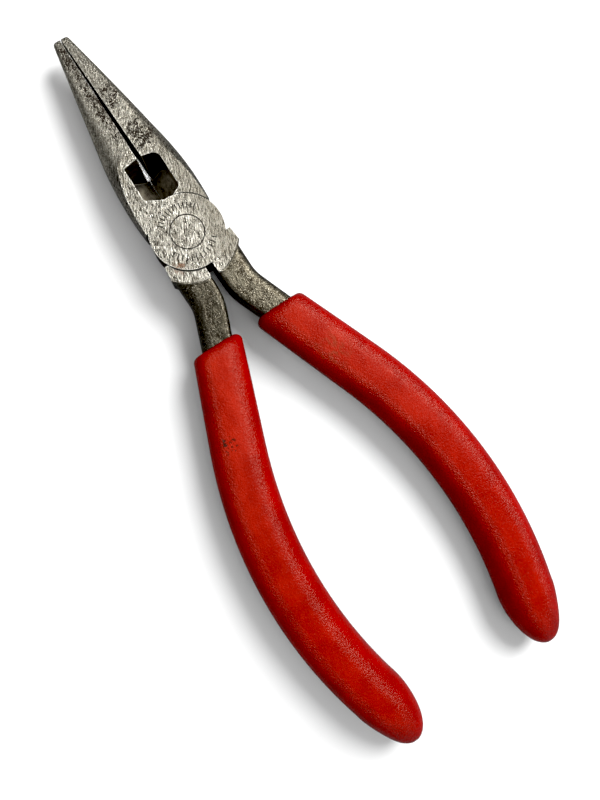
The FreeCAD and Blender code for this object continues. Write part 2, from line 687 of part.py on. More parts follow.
def is_upright(edge):
    """True for an edge that runs through the thickness of the tool."""
    ends = [v.Point for v in edge.Vertexes]
    if len(ends) < 2:
        return False
    run = ends[1] - ends[0]
    return run.Length > 0 and abs(run.z) > UPRIGHT * run.Length


def close_to(edge, x, y):
    """True when the edge's middle is near the given point seen along Z."""
    middle = edge.valueAt((edge.FirstParameter + edge.LastParameter) / 2)
    return math.hypot(middle.x - x, middle.y - y) < val("Sizes.overrun")


def fillet(body, name, radius, test):
    """Round every edge of the body that passes the test."""
    doc.recompute()
    base = body.Tip
    names = edges_where(base.Shape, test)
    if not names:
        raise ValueError("no edges for " + name)
    feature = body.newObject("PartDesign::Fillet", name)
    feature.Base = (base, names)
    feature.setExpression("Radius", radius)
    doc.recompute()
    return feature


def index_marks(body, name, first_angle, last_angle, count):
    """Arc of short radial marks pressed into the front face round the rivet."""
    level = "Sizes.joint_thick / 2"
    sketch = new_sketch(body, name + "Outline", "XY_Plane", (None, None, level),
                        FreeCAD.Vector(0, 0, 1), str(first_angle))
    near = "Sizes.mark_radius - Sizes.mark_length / 2"
    far = "Sizes.mark_radius + Sizes.mark_length / 2"
    polygon(sketch, [
        (near, "-Sizes.mark_width / 2"),
        (far, "-Sizes.mark_width / 2"),
        (far, "Sizes.mark_width / 2"),
        (near, "Sizes.mark_width / 2"),
    ])
    mark = pocket(body, name + "Mark", sketch, "Sizes.mark_depth")
    doc.recompute()
    ring = body.newObject("PartDesign::PolarPattern", name)
    ring.Originals = [mark]
    ring.Axis = (sketch, ["N_Axis"])
    ring.Angle = last_angle - first_angle
    ring.Occurrences = count
    body.Tip = ring
    doc.recompute()


def place(body, flipped):
    """Lift the lap plane to the middle of the joint; a flipped piece is turned about Y."""
    turn = FreeCAD.Rotation(FreeCAD.Vector(0, 1, 0), 180 if flipped else 0)
    body.Placement = FreeCAD.Placement(FreeCAD.Vector(), turn)
    body.setExpression("Placement.Base.z", "Sizes.joint_thick / 2")
    doc.recompute()


def forged_half(label, flipped, rivet_play, window_side, tooth_shift):
    """One jaw, leaf, handle root, neck and tang in a single forging; the front one is marked."""
    body = doc.addObject("PartDesign::Body", label)
    front = -1 if flipped else 1
    jaw(body)
    leaf(body)
    handle_root(body)
    doc.recompute()
    fillet(body, "PadCorner", "Sizes.pad_corner", lambda edge: is_upright(edge) and close_to(
        edge, val("Sizes.slot_half"), -val("Sizes.pad_radius")))
    handle_steel(body, "PartDesign::AdditivePipe")
    doc.recompute()
    ground_faces(body)
    lap_recess(body)
    doc.recompute()
    rivet_hole(body, rivet_play)
    cutter_window(body, front, window_side)
    knife(body, front)
    relief_hole(body)
    doc.recompute()
    teeth(body, tooth_shift)
    if not flipped:
        for name, first_angle, last_angle, count in MARK_ARCS:
            index_marks(body, name, first_angle, last_angle, count)
    place(body, flipped)
    return body


def pivot_rivet():
    body = doc.addObject("PartDesign::Body", "pivot_rivet")
    sketch = new_sketch(body, "RivetProfile", "XZ_Plane")
    rivet_profile(sketch, "0", -1)
    turned = body.newObject("PartDesign::Revolution", "Rivet")
    turned.Profile = sketch
    turned.ReferenceAxis = (sketch, ["V_Axis"])
    turned.Angle = 360
    sketch.Visibility = False
    place(body, False)
    return body


def grip_end(body, end_section):
    """Closed end of the grip: the section shrinks to a blunt tip while it turns straight."""
    bow_angle = -math.degrees(math.asin(
        (val("Sizes.grip_bow_end") + bow_centre_level()) / val("Sizes.bow_radius")))
    bow_x = end_section.Placement.Base.x
    sections = []
    for number, part in enumerate(CAP_STEPS, start=1):
        shrink = math.sqrt(1 - part ** 2)
        x = "(Sizes.end_centre + (%.4f - Sizes.end_centre) * %.4f)" % (bow_x, (1 - part) ** 2)
        level = "(Sizes.grip_bow_end + (Sizes.grip_end - Sizes.grip_bow_end) * %s)" % part
        sketch = new_sketch(body, "CapSection%d" % number, "XZ_Plane", (x, None, level),
                            FreeCAD.Vector(0, 1, 0), str(bow_angle * (1 - part)))
        rounding = "Sizes.end_round * %.4f" % shrink
        rounded_block(sketch, "(Sizes.end_width * %.4f)" % shrink,
                      "(Sizes.end_thick * %.4f)" % shrink, rounding, rounding)
        sketch.Visibility = False
        sections.append(sketch)
    doc.recompute()
    cap = body.newObject("PartDesign::AdditiveLoft", "Cap")
    cap.Profile = end_section
    cap.Sections = sections
    cap.Ruled = False
    doc.recompute()


def bow_centre_level():
    """Height of the bow's centre on the Y axis, from the lengths and angles before it."""
    splay = math.radians(val("Sizes.splay"))
    bend_end = -val("Sizes.bend_level") - val("Sizes.bend_radius") * math.sin(splay)
    bow_start = bend_end - val("Sizes.straight") * math.cos(splay)
    return bow_start - val("Sizes.bow_radius") * math.sin(splay)


def grip(label, flipped):
    """Dipped vinyl sleeve: closed bullet end, rounded rim at the mouth, hollow for the tang."""
    body = doc.addObject("PartDesign::Body", label)
    spine = handle_spine(body, "GripSpine", "Sizes.grip_bow_end")
    mouth = section_at_spine_start(body, "MouthSection", "Sizes.root_centre", "Sizes.neck_top")
    rounded_block(mouth, "Sizes.mouth_width", "Sizes.mouth_thick",
                  "Sizes.mouth_round", "Sizes.mouth_round")
    doc.recompute()
    middle = section_on_bow(body, "MiddleSection", spine, 1)
    rounded_block(middle, "Sizes.middle_width", "Sizes.middle_thick",
                  "Sizes.middle_round", "Sizes.middle_round")
    end = section_on_bow(body, "EndSection", spine, 0)
    rounded_block(end, "Sizes.end_width", "Sizes.end_thick",
                  "Sizes.end_round", "Sizes.end_round")
    doc.recompute()
    pipe(body, "PartDesign::AdditivePipe", "Sleeve", spine, [mouth, middle, end])
    doc.recompute()
    grip_end(body, end)
    trim = new_sketch(body, "MouthTrim", "XY_Plane")
    polygon(trim, [
        ("-2 * Sizes.grip_start", "-Sizes.grip_start"),
        ("2 * Sizes.grip_start", "-Sizes.grip_start"),
        ("2 * Sizes.grip_start", "0"),
        ("-2 * Sizes.grip_start", "0"),
    ])
    pocket(body, "MouthCut", trim, "4 * Sizes.mouth_thick", midplane=True)
    doc.recompute()
    fillet(body, "Rim", "Sizes.rim_round", lambda edge: at_level(edge, "-Sizes.grip_start"))
    handle_steel(body, "PartDesign::SubtractivePipe")
    place(body, flipped)
    return body


def save(bodies):
    """Check every object and piece, then write one STEP file per piece."""
    doc.recompute()
    for item in doc.Objects:
        if "Invalid" in item.State or "Error" in item.State:
            raise RuntimeError("%s is %s" % (item.Name, item.State))
    os.makedirs("parts", exist_ok=True)
    for body in bodies:
        shape = body.Shape
        if shape.isNull() or not shape.isValid() or len(shape.Solids) != 1:
            raise RuntimeError("%s is not one valid solid" % body.Label)
        shape.exportStep("parts/%s.step" % body.Label)
        print("%-12s %9.1f mm3" % (body.Label, shape.Volume))


fill_sheet()
save([
    forged_half("upper_half", False, "Sizes.rivet_play", "left", "0"),
    forged_half("lower_half", True, "0", "right", "0.5"),
    pivot_rivet(),
    grip("right_grip", False),
    grip("left_grip", True),
])
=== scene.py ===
import math

import bpy
from mathutils import Matrix, Vector


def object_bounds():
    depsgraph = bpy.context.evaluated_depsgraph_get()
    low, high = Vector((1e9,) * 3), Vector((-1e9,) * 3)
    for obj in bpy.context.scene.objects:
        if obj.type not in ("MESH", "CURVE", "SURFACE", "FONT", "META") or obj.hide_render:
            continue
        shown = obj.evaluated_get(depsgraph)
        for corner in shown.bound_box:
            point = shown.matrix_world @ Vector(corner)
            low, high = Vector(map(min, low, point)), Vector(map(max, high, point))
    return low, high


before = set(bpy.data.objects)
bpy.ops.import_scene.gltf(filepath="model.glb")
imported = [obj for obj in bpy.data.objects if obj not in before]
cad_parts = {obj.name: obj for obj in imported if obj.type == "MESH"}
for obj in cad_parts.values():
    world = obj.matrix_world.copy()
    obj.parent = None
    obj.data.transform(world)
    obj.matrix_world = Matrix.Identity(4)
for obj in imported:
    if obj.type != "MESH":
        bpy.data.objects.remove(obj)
cad_low, cad_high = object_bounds()

MM = 0.001

# Places on the tool in mm. X points to the right jaw, Y to the tips, Z out of the front face.
FRONT_FACE = 11.0       # level of the front ground face
NECK_LEVEL = -6.7       # behind this level the ground face ends in an arc
NECK_RADIUS = 12.65     # radius of that arc
WINDOW_HALF = 4.85      # half width of the cutter window
WINDOW_REAR = 9.05      # rear wall of the window
WINDOW_FRONT = 22.0     # front wall of the window
LEAF_SEAM = 9.66        # radius of the seam round the lap leaf
RIVET_RING = 4.25       # radius of the ring round the rivet's head
MARKS_RADIUS = 8.05     # the index marks lie inside this radius
EDGE_WEAR_AND_HIGHLIGHT_RADIUS = 8.2       # edges get wear and a painted highlight outside this radius
JAW_TIP = 56.9          # end of the jaws
GAP_REAR = 24.0         # where the gap between the jaws is widest
GAP_TIP_HALF = 0.10     # half width of that gap at the tips
GAP_REAR_HALF = 0.64    # half width of that gap at its rear
CUTTER_FRONT = 19.0     # front end of the cutting edges
NOSE_BLEND = (19.0, 26.0)           # Y over which brushed metal turns into hammered metal
STREAK_TURN = -27.0                 # angle of the grinding streaks to Y, in degrees
SCRATCH_TURN = -20.0                # angle of the deeper scratches
PIT_LANE_X = (-2.8, -0.05)          # sides of the pitted lane on the left jaw
PIT_LANE_Y = (26.5, 54.9)           # its ends

# Round marks: place, radius of the full effect, radius where it ends.
PIT_PATCHES = (((2.2, 38.5, 9.5), 2.2, 4.6),
               ((3.9, 26.5, 10.5), 2.6, 5.2),
               ((1.8, 22.9, 11.0), 0.7, 1.6))
RUST_SPOT = ((-6.4, -6.4, 11.0), 0.8, 2.4)
GRIP_SPECKS = ((-20.6, -49.8, 12.0), 1.8, 2.8)
GRIP_SCUFF = ((14.5, -44.0, 12.0), 1.0, 6.5)

# Colours of the steel, from the bright ground faces down to dirt and painted shade.
JOINT_DARK = (0.045, 0.039, 0.029)
JOINT_LIGHT = (0.40, 0.38, 0.325)
NOSE_DARK = (0.19, 0.168, 0.13)
NOSE_LIGHT = (0.62, 0.59, 0.50)
FLASH = (0.85, 0.83, 0.74)
SCRATCH = (0.03, 0.025, 0.018)
STAIN = (0.13, 0.115, 0.085)
RIGHT_SHADE = (0.09, 0.08, 0.06)
RUST = (0.12, 0.05, 0.02)
# Edge colour: wear plus a painted highlight.
EDGE_WEAR_AND_HIGHLIGHT = (0.85, 0.83, 0.75)
PIT = (0.012, 0.007, 0.004)
# Dirt in the marks, and painted shade in the jaws' gap and the leaf's seam.
DIRT_AND_SHADE = (0.010, 0.008, 0.006)
NECK_SHADE = (0.024, 0.019, 0.012)
NECK_LIGHT = (0.085, 0.076, 0.055)
WINDOW_SHADE = (0.045, 0.036, 0.024)
WINDOW_LIGHT = (0.20, 0.175, 0.125)
SCALE_LIGHT = (0.20, 0.18, 0.135)
# Painted shade in the window's front part.
WINDOW_FRONT_SHADE = (0.008, 0.006, 0.004)
# Painted shade on the left neck.
LEFT_NECK_SHADE = (0.012, 0.010, 0.007)
NECK_GLINT = (0.60, 0.56, 0.46)
# Edge colour on the necks: wear plus a painted highlight.
NECK_EDGE_WEAR_AND_HIGHLIGHT = (0.40, 0.37, 0.29)

# Colours of the vinyl: each pair is the darker and the lighter end of its clouds.
DEEP_RED = ((0.21, 0.0012, 0.0008), (0.28, 0.0022, 0.0011))
# Painted sheen: the lighter red of the tops, where the overhead light falls.
SHEEN_RED = ((0.25, 0.009, 0.005), (0.34, 0.018, 0.009))
PEBBLE_RED = (0.42, 0.030, 0.016)
SPECK = (0.012, 0.008, 0.006)
SCUFF = (0.16, 0.045, 0.02)
VINYL_SHEEN = (1.0, 0.62, 0.50)
VINYL_BOUNCE = (0.12, 0.12, 0.12)   # what diffuse light picks up here, so the floor stays grey
CROWN_REACH = 4.5                   # mm over which the grips' edges are shaded round

# Floor, light and camera. The floor's brightness is set apart for the camera and for the light.
FLOOR_HALF = 3.0                    # half the floor's side, in metres
FLOOR_CLEARANCE = 0.02              # mm between the floor and the tool
FLOOR_SEEN = 0.86                   # floor as the camera sees it
FLOOR_FAR = 6.0                     # how much brighter the camera sees it far away
FLOOR_PAINTED_LIGHT = 9.0            # painted light: how much brighter the floor is inside the closed cutter window
FLOOR_BOUNCE = 0.6                  # floor as diffuse light sees it
FLOOR_MIRRORED = 0.22               # floor as the steel mirrors it
PAINTED_LIGHT_PATCH = ((0.0, 21.0, 0.0), 4.0, 6.5)     # the place of that painted light, as for the round marks
COVER_REACH = 12.0                  # mm within which something has to cover that patch
FAR_FLOOR = (250.0, 1200.0)         # mm from the pivot over which the far floor's gain sets in
# Sine of the height over the horizon, and the dome's brightness there.
DOME_STOPS = ((0.0, 0.06), (0.5, 0.1), (0.68, 0.45), (0.86, 0.66), (1.0, 0.52))
LIGHTS = (
    # name, position, aim, size in metres, power in watts
    ("key", (0.42, 0.06, 0.44), (0, -0.04, 0), 0.40, 6.5),
    ("fill", (-0.42, -0.10, 0.42), (0, -0.04, 0), 0.14, 0.25),
    ("top", (0.05, -0.28, 0.50), (0, -0.10, 0), 0.26, 0.35),
)
LENS = 28.8                             # mm, as is the sensor's width
SENSOR = 36.0
CAMERA_PLACE = (-15.4, -38.8, 171.1)    # mm
CAMERA_TURN = (-4.03, -5.68, -33.56)    # degrees about X, Y and Z, applied from Z to X
CLIP_START = 0.005                      # metres
BLACK_LEVEL = 0.012                     # brightness that is shown as black


# ------------------------------------------------------------------ node helpers

class Shader:
    """Small wrapper that adds nodes to one material and links them."""

    def __init__(self, name):
        self.material = bpy.data.materials.new(name)
        self.material.use_nodes = True
        self.tree = self.material.node_tree
        self.tree.nodes.clear()
        self.output = self.add("ShaderNodeOutputMaterial")
        self.coords = self.add("ShaderNodeTexCoord").outputs["Object"]

    def add(self, kind, **settings):
        node = self.tree.nodes.new(kind)
        for key, value in settings.items():
            setattr(node, key, value)
        return node

    def link(self, source, target):
        """Join a socket to an input, or set the input to a number or a colour."""
        if isinstance(source, (int, float)):
            target.default_value = source
        elif isinstance(source, tuple):
            target.default_value = (*source, 1.0)
        else:
            self.tree.links.new(source, target)

    def math(self, operation, a, b=0.0, clamp=False):
        node = self.add("ShaderNodeMath", operation=operation, use_clamp=clamp)
        self.link(a, node.inputs[0])
        self.link(b, node.inputs[1])
        return node.outputs[0]

    def chain(self, operation, values):
        """Apply one operation from the first value to the last."""
        total = values[0]
        for value in values[1:]:
            total = self.math(operation, total, value)
        return total

    def times(self, *values):
        return self.chain("MULTIPLY", values)

    def plus(self, *values):
        return self.chain("ADD", values)

    def minus(self, *values):
        return self.chain("SUBTRACT", values)

    def largest(self, *values):
        return self.chain("MAXIMUM", values)

    def absolute(self, value):
        return self.math("ABSOLUTE", value)

    def mix(self, factor, a, b):
        """Blend of two colours."""
        node = self.add("ShaderNodeMix", data_type="RGBA")
        self.link(factor, node.inputs["Factor"])
        self.link(a, node.inputs[6])
        self.link(b, node.inputs[7])
        return node.outputs[2]

    def mix_value(self, factor, a, b):
        """Blend of two numbers."""
        node = self.add("ShaderNodeMix", data_type="FLOAT")
        self.link(factor, node.inputs[0])
        self.link(a, node.inputs[2])
        self.link(b, node.inputs[3])
        return node.outputs[0]

    def ramp(self, value, low, high, low_out=0.0, high_out=1.0, curve="SMOOTHSTEP"):
        """Map the value from low..high to low_out..high_out and hold it there outside."""
        node = self.add("ShaderNodeMapRange", clamp=True, interpolation_type=curve)
        self.link(value, node.inputs["Value"])
        self.link(low, node.inputs["From Min"])
        self.link(high, node.inputs["From Max"])
        self.link(low_out, node.inputs["To Min"])
        self.link(high_out, node.inputs["To Max"])
        return node.outputs[0]

    def above(self, value, level, blur):
        """1 where the value is over the level, with a soft step twice as wide as the blur."""
        return self.ramp(value, level - blur, level + blur)

    def below(self, value, level, blur):
        return self.ramp(value, level + blur, level - blur)

    def spot(self, place, inner, outer):
        """1 within the inner distance in mm of a place, 0 beyond the outer distance."""
        node = self.add("ShaderNodeVectorMath", operation="DISTANCE")
        self.link(self.coords, node.inputs[0])
        node.inputs[1].default_value = [number * MM for number in place]
        distance = self.times(node.outputs["Value"], 1 / MM)
        return self.ramp(distance, outer, inner)

    def noise(self, sizes, detail=3.0, roughness=0.55, turn=0.0):
        """Cloudy noise with grains of the given X, Y and Z sizes in mm, turned about Z in degrees."""
        stretch = self.add("ShaderNodeMapping", vector_type="TEXTURE")
        self.link(self.coords, stretch.inputs["Vector"])
        stretch.inputs["Rotation"].default_value = (0, 0, math.radians(turn))
        stretch.inputs["Scale"].default_value = [size * MM for size in sizes]
        node = self.add("ShaderNodeTexNoise")
        self.link(stretch.outputs[0], node.inputs["Vector"])
        node.inputs["Scale"].default_value = 1.0
        node.inputs["Detail"].default_value = detail
        node.inputs["Roughness"].default_value = roughness
        return node.outputs["Fac"]

    def position(self):
        """X, Y and Z in mm."""
        node = self.add("ShaderNodeSeparateXYZ")
        self.link(self.coords, node.inputs[0])
        return [self.times(axis, 1 / MM) for axis in node.outputs]

    def light_path(self, output):
        return self.add("ShaderNodeLightPath").outputs[output]

    def rounded_normal(self, reach, samples):
        """Normal of the surface as if its edges were rounded over the given reach in mm."""
        node = self.add("ShaderNodeBevel", samples=samples)
        node.inputs["Radius"].default_value = reach * MM
        return node.outputs[0]

    def near_edges(self, reach):
        """1 near sharp edges, up to the given reach in mm."""
        geometry = self.add("ShaderNodeNewGeometry")
        dot = self.add("ShaderNodeVectorMath", operation="DOT_PRODUCT")
        self.link(self.rounded_normal(reach, 4), dot.inputs[0])
        self.link(geometry.outputs["Normal"], dot.inputs[1])
        return self.ramp(dot.outputs["Value"], 0.985, 0.90)

    def bump(self, height, depth, strength, normal=None):
        """Normal that shows the height as relief of the given depth in mm."""
        node = self.add("ShaderNodeBump")
        self.link(height, node.inputs["Height"])
        node.inputs["Distance"].default_value = depth * MM
        node.inputs["Strength"].default_value = strength
        if normal is not None:
            self.link(normal, node.inputs["Normal"])
        return node.outputs[0]

    def diffuse(self, colour):
        node = self.add("ShaderNodeBsdfDiffuse")
        self.link(colour, node.inputs["Color"])
        self.link(node.outputs[0], self.output.inputs["Surface"])
        return self.material

    def principled(self, **inputs):
        """Finish the material; an input's spaces are written as underscores."""
        node = self.add("ShaderNodeBsdfPrincipled")
        for key, value in inputs.items():
            self.link(value, node.inputs[key.replace("_", " ")])
        self.link(node.outputs[0], self.output.inputs["Surface"])
        return self.material


# ------------------------------------------------------------------ steel

def forged_zones(s, x, y, z, radius, wobble):
    """Where the metal was left as forged: the handles' necks and the cutter window's walls."""
    neck = s.times(s.below(y, NECK_LEVEL, 0.1), s.above(s.plus(radius, wobble), NECK_RADIUS, 0.1))
    between_sides = s.below(s.absolute(x), WINDOW_HALF, 0.1)
    between_ends = s.times(s.above(y, WINDOW_REAR, 0.15), s.below(y, WINDOW_FRONT, 0.2))
    pocket = s.times(between_sides, between_ends, s.below(z, FRONT_FACE - 0.125, 0.075))
    return neck, pocket


def ground_colour(s, x, y, streaks, grain):
    """Bright metal: brushed at the joint, hammered towards the tips, darker on the right."""
    scratches = s.noise((0.16, 1.1, 0.4), 1.0, 0.5, turn=SCRATCH_TURN)
    cloud = s.noise((2.4, 3.4, 2.6), 3.0, 0.6)
    nose = s.ramp(y, *NOSE_BLEND)
    brushed = s.plus(s.times(streaks, 0.62), s.times(grain, 0.38))
    hammered = s.plus(s.times(streaks, 0.3), s.times(grain, 0.7))
    tone = s.mix_value(nose, brushed, hammered)
    dark = s.mix(nose, JOINT_DARK, NOSE_DARK)
    light = s.mix(nose, JOINT_LIGHT, NOSE_LIGHT)
    colour = s.mix(s.ramp(tone, 0.40, 0.60), dark, light)
    flash = s.times(s.ramp(scratches, 0.60, 0.70), s.ramp(x, 4.0, 7.0, 0.7, 0.15))
    colour = s.mix(flash, colour, FLASH)
    colour = s.mix(s.ramp(scratches, 0.40, 0.30, 0.0, 0.8), colour, SCRATCH)
    colour = s.mix(s.ramp(cloud, 0.5, 0.72, 0.0, 0.45), colour, STAIN)
    return s.mix(s.ramp(x, 1.0, 8.0, 0.0, 0.55), colour, RIGHT_SHADE)


def pit_mask(s, x, y, ground):
    """Corrosion pits: a lane beside the gap on the left jaw, patches on the right jaw."""
    outer_side, inner_side = PIT_LANE_X
    rear_end, front_end = PIT_LANE_Y
    left_lane = s.times(s.below(x, inner_side, 0.25), s.above(x, outer_side, 0.6),
                        s.above(y, rear_end, 3.5), s.below(y, front_end, 0.7))
    patches = s.largest(*(s.spot(*patch) for patch in PIT_PATCHES))
    patches = s.times(patches, s.ramp(x, 0.4, 0.9))
    crowding = s.times(s.largest(left_lane, patches), 0.225)
    level = s.minus(0.71, crowding)
    over = s.minus(s.noise((0.95, 1.2, 1.0), 5.0, 0.66), level)
    return s.times(s.ramp(over, -0.01, 0.025), ground, s.ramp(s.noise((0.4, 0.5, 0.4)), 0.36, 0.50))


def seam_shade(s, x, y, z, radius):
    """Painted shade in the seam round the leaf: its open lower part, and the groove in the upper
    part.
    """
    seam = s.ramp(s.absolute(s.minus(radius, LEAF_SEAM)), 0.34, 0.16)
    # Painted shade where the seam lies open, on its lower left.
    low_part = s.times(seam, s.ramp(y, -3.5, -6.5), s.ramp(x, 1.3, 1.0))
    # Painted shade on the walls of the seam's groove.
    groove = s.times(seam, s.ramp(z, FRONT_FACE - 0.02, FRONT_FACE - 0.2), s.ramp(z, 0.02, 0.2))
    return s.largest(low_part, groove)


def dirt_and_shade_mask(s, x, y, z, radius, wobble):
    """Dirt in the index marks and round the rivet; painted shade along the gap between the jaws and
    in the seam.
    """
    sunk = s.times(s.ramp(z, FRONT_FACE - 0.02, FRONT_FACE - 0.07),
                   s.ramp(z, FRONT_FACE - 0.6, FRONT_FACE - 0.4))
    marks = s.times(sunk, s.below(radius, MARKS_RADIUS, 0.15))
    ring = s.ramp(s.absolute(s.minus(radius, RIVET_RING)), 0.22, 0.10)
    ring = s.times(ring, s.ramp(s.noise((0.9, 0.9, 0.9)), 0.36, 0.5, 0.35, 0.9))
    # Painted shade along the gap between the jaws.
    from_middle = s.absolute(s.plus(x, s.times(wobble, 0.15)))
    reach = s.ramp(y, JAW_TIP, GAP_REAR, GAP_TIP_HALF, GAP_REAR_HALF, curve="LINEAR")
    gap = s.times(s.below(s.minus(from_middle, reach), 0.0, 0.05), s.above(y, CUTTER_FRONT, 1.0))
    return s.largest(marks, ring, gap, seam_shade(s, x, y, z, radius))


def forged_colour(s, x, y, neck, pocket, scale, blotch, wear_and_edge_highlight):
    """Dark oxide with lighter scale, and painted shade, deepest at the window's front and on the left
    neck; edges get wear and a painted highlight.
    """
    shade = s.mix(pocket, NECK_SHADE, WINDOW_SHADE)
    light = s.mix(pocket, NECK_LIGHT, WINDOW_LIGHT)
    colour = s.mix(s.ramp(blotch, 0.35, 0.65), shade, light)
    colour = s.mix(s.ramp(scale, 0.50, 0.66), colour, SCALE_LIGHT)
    # Painted shade in the window's front part.
    window_front_shade = s.times(pocket, s.ramp(y, 15.5, 18.5))
    colour = s.mix(s.times(window_front_shade, 0.85), colour, WINDOW_FRONT_SHADE)
    # Painted shade on the left neck, which faces away from the light.
    left_neck_shade = s.times(neck, s.ramp(x, 0.3, -0.3))
    colour = s.mix(s.times(left_neck_shade, 0.45), colour, LEFT_NECK_SHADE)
    glint = s.ramp(s.noise((0.24, 0.24, 0.24), 2.0, 0.6), 0.62, 0.74, 0.0, 0.8)
    colour = s.mix(s.times(glint, neck), colour, NECK_GLINT)
    # Painted highlight and wear on the edges.
    return s.mix(s.times(wear_and_edge_highlight, 0.7), colour, NECK_EDGE_WEAR_AND_HIGHLIGHT)


def steel():
    """Ground forging: bright brushed faces, dark oxide on the necks and in the cutter window."""
    s = Shader("forged_steel")
    x, y, z = s.position()
    radius = s.math("SQRT", s.plus(s.math("POWER", x, 2.0), s.math("POWER", y, 2.0)))
    wobble = s.times(s.minus(s.noise((0.7, 0.7, 0.7)), 0.5), 0.5)
    neck, pocket = forged_zones(s, x, y, z, radius, wobble)
    forged = s.largest(neck, pocket)
    ground = s.minus(1.0, forged)

    streaks = s.noise((0.18, 1.25, 0.4), 2.0, 0.5, turn=STREAK_TURN)
    grain = s.noise((0.24, 0.30, 0.30), 2.0, 0.6)
    bright = ground_colour(s, x, y, streaks, grain)
    rust = s.times(s.spot(*RUST_SPOT), s.ramp(s.noise((0.8, 0.8, 0.8)), 0.42, 0.6))
    bright = s.mix(s.times(rust, 0.75), bright, RUST)
    # Edges: wear plus a painted highlight, outside the marks and weaker on the right side.
    wear_and_edge_highlight = s.times(s.near_edges(0.4), s.above(radius, EDGE_WEAR_AND_HIGHLIGHT_RADIUS, 0.2), s.ramp(x, 2.5, 5.5, 1.0, 0.1))
    bright = s.mix(s.times(wear_and_edge_highlight, 0.8), bright, EDGE_WEAR_AND_HIGHLIGHT)
    pits = pit_mask(s, x, y, ground)
    bright = s.mix(s.times(pits, 0.97), bright, PIT)
    # Dirt in the marks and round the rivet; painted shade in the jaws' gap and the leaf's seam.
    dirt_and_shade = dirt_and_shade_mask(s, x, y, z, radius, wobble)
    bright = s.mix(s.times(dirt_and_shade, 0.95), bright, DIRT_AND_SHADE)

    scale = s.noise((0.42, 0.42, 0.42), 4.0, 0.7)
    blotch = s.noise((1.6, 2.2, 1.6), 3.0, 0.6)
    oxide = forged_colour(s, x, y, neck, pocket, scale, blotch, wear_and_edge_highlight)

    # Pits, dirt and the painted shade also make the metal rougher and duller.
    grime_and_shade = s.largest(pits, dirt_and_shade)
    smooth_height = s.times(s.plus(streaks, s.times(grain, 1.2)), ground)
    pitted_height = s.minus(smooth_height, s.times(pits, 1.6))
    lumps = s.plus(s.times(scale, 1.6), s.times(blotch, 4.0))
    height = s.plus(pitted_height, s.times(lumps, forged))
    return s.principled(
        Base_Color=s.mix(forged, bright, oxide),
        Roughness=s.plus(s.ramp(streaks, 0.3, 0.7, 0.23, 0.35), s.times(grime_and_shade, 0.35),
                         s.times(forged, 0.08)),
        Metallic=s.math("SUBTRACT", s.minus(1.0, grime_and_shade), s.times(pocket, 0.6), clamp=True),
        Normal=s.bump(height, 0.07, 1.0),
        Specular_IOR_Level=s.minus(0.5, s.times(grime_and_shade, 0.42)))


# ------------------------------------------------------------------ vinyl

def vinyl_colour(s, fine, cloud, top_sheen):
    """Red with a painted sheen that makes the tops lighter, with black specks on the left grip and a
    scuff on the right one.
    """
    clouds = s.ramp(cloud, 0.3, 0.7)
    colour = s.mix(top_sheen, s.mix(clouds, *DEEP_RED), s.mix(clouds, *SHEEN_RED))
    colour = s.mix(s.ramp(fine, 0.52, 0.75, 0.0, 0.3), colour, PEBBLE_RED)
    specks = s.times(s.spot(*GRIP_SPECKS), s.ramp(s.noise((0.9, 0.9, 0.9)), 0.53, 0.59))
    colour = s.mix(s.times(specks, 0.9), colour, SPECK)
    scuff = s.times(s.spot(*GRIP_SCUFF), s.ramp(s.noise((1.2, 2.0, 1.2)), 0.42, 0.66))
    colour = s.mix(s.times(scuff, 0.45), colour, SCUFF)
    return s.mix(s.light_path("Is Diffuse Ray"), colour, VINYL_BOUNCE)


def vinyl():
    """Dipped vinyl: saturated red with a fine pebbled, half-glossy skin."""
    s = Shader("red_vinyl")
    y = s.position()[1]
    fine = s.noise((0.30, 0.30, 0.30), 2.0, 0.5)
    pebble = s.noise((0.60, 0.60, 0.60), 2.0, 0.5)
    cloud = s.noise((6.0, 9.0, 6.0))
    crowned = s.rounded_normal(CROWN_REACH, 8)
    crowned_axes = s.add("ShaderNodeSeparateXYZ")
    s.link(crowned, crowned_axes.inputs[0])
    flat = s.absolute(crowned_axes.outputs[2])
    # Painted sheen: lighter where the rounded surface faces up, weaker towards the grips' ends.
    top_sheen = s.times(s.ramp(s.plus(flat, s.times(cloud, 0.05)), 0.88, 1.03),
                    s.ramp(y, -105.0, -30.0, 0.35, 1.0))
    shoulder = s.times(s.ramp(flat, 0.80, 0.92), s.ramp(flat, 0.998, 0.97))
    height = s.times(s.plus(s.times(pebble, 1.4), fine), s.plus(0.9, s.times(shoulder, 0.7)))
    return s.principled(
        Base_Color=vinyl_colour(s, fine, cloud, top_sheen),
        Roughness=s.plus(s.ramp(fine, 0.3, 0.7, 0.15, 0.24), s.times(top_sheen, 0.1)),
        Metallic=0.0,
        Normal=s.bump(height, 0.14, 0.85, crowned),
        Specular_IOR_Level=s.plus(0.11, s.times(shoulder, 0.30)),
        Specular_Tint=VINYL_SHEEN)


# ------------------------------------------------------------------ stage, light, camera

def grey(level):
    return (level, level, level)


